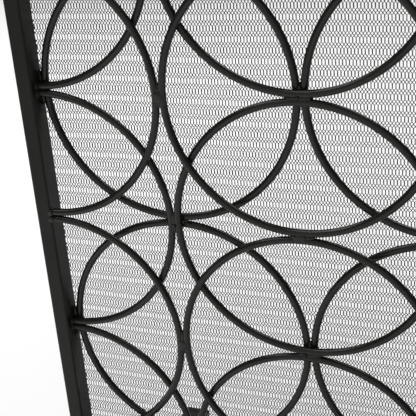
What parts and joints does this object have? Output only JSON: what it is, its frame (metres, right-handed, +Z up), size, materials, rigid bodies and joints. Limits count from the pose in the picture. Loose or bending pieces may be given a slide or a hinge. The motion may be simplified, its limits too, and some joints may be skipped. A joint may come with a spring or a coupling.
{
  "type": "fireplace screen",
  "caption": "Free-standing fireplace screen: a black tube frame filled with overlapping rod rings in three layers, backed by fine wire mesh, on two low feet.",
  "frame": {"origin": "on the floor under the middle of the screen", "axes": "+X to the right seen from the front, +Y to the back (towards the fire), +Z up"},
  "size_m": [0.9464, 0.213, 0.7589],
  "materials": {
    "frame_black": "satin powder coat",
    "rod_black": "satin powder coat",
    "mesh_black": "matt heat-resistant paint",
    "strip_black": "satin powder coat",
    "foot_black": "satin powder coat",
    "screw_black": "black oxide",
    "nut_zinc": "zinc plated",
    "pad_rubber": "matt rubber",
    "plug_plastic": "fine moulded texture"
  },
  "bodies": {
    "root": {"back_ring_1_1": "rod_black", "back_ring_1_2": "rod_black", "back_ring_1_3": "rod_black", "back_ring_1_4": "rod_black", "back_ring_2_1": "rod_black", "back_ring_2_2": "rod_black", "back_ring_2_3": "rod_black", "back_ring_2_4": "rod_black", "back_ring_3_1": "rod_black", "back_ring_3_2": "rod_black", "back_ring_3_3": "rod_black", "back_ring_3_4": "rod_black", "bottom_rail": "frame_black", "corner_quarter_rings": "rod_black", "foot_end_plugs": "plug_plastic", "foot_pads": "pad_rubber", "foot_plates": "foot_black", "foot_screws": "screw_black", "foot_uprights": "foot_black", "front_half_ring_1_left": "rod_black", "front_half_ring_1_right": "rod_black", "front_half_ring_2_left": "rod_black", "front_half_ring_2_right": "rod_black", "front_half_ring_3_left": "rod_black", "front_half_ring_3_right": "rod_black", "front_ring_1_2": "rod_black", "front_ring_1_3": "rod_black", "front_ring_1_4": "rod_black", "front_ring_2_2": "rod_black", "front_ring_2_3": "rod_black", "front_ring_2_4": "rod_black", "front_ring_3_2": "rod_black", "front_ring_3_3": "rod_black", "front_ring_3_4": "rod_black", "left_foot_bar": "foot_black", "left_post": "frame_black", "mesh_panel": "mesh_black", "mesh_screws": "screw_black", "mesh_strips_across": "strip_black", "mesh_strips_upright": "strip_black", "middle_half_ring_2_left": "rod_black", "middle_half_ring_2_right": "rod_black", "middle_half_ring_3_left": "rod_black", "middle_half_ring_3_right": "rod_black", "middle_half_ring_bottom_2": "rod_black", "middle_half_ring_bottom_3": "rod_black", "middle_half_ring_bottom_4": "rod_black", "middle_half_ring_top_2": "rod_black", "middle_half_ring_top_3": "rod_black", "middle_half_ring_top_4": "rod_black", "middle_ring_2_2": "rod_black", "middle_ring_2_3": "rod_black", "middle_ring_2_4": "rod_black", "middle_ring_3_2": "rod_black", "middle_ring_3_3": "rod_black", "middle_ring_3_4": "rod_black", "right_foot_bar": "foot_black", "right_post": "frame_black", "rivet_nuts": "nut_zinc", "top_rail": "frame_black"}
  },
  "joints": []
}
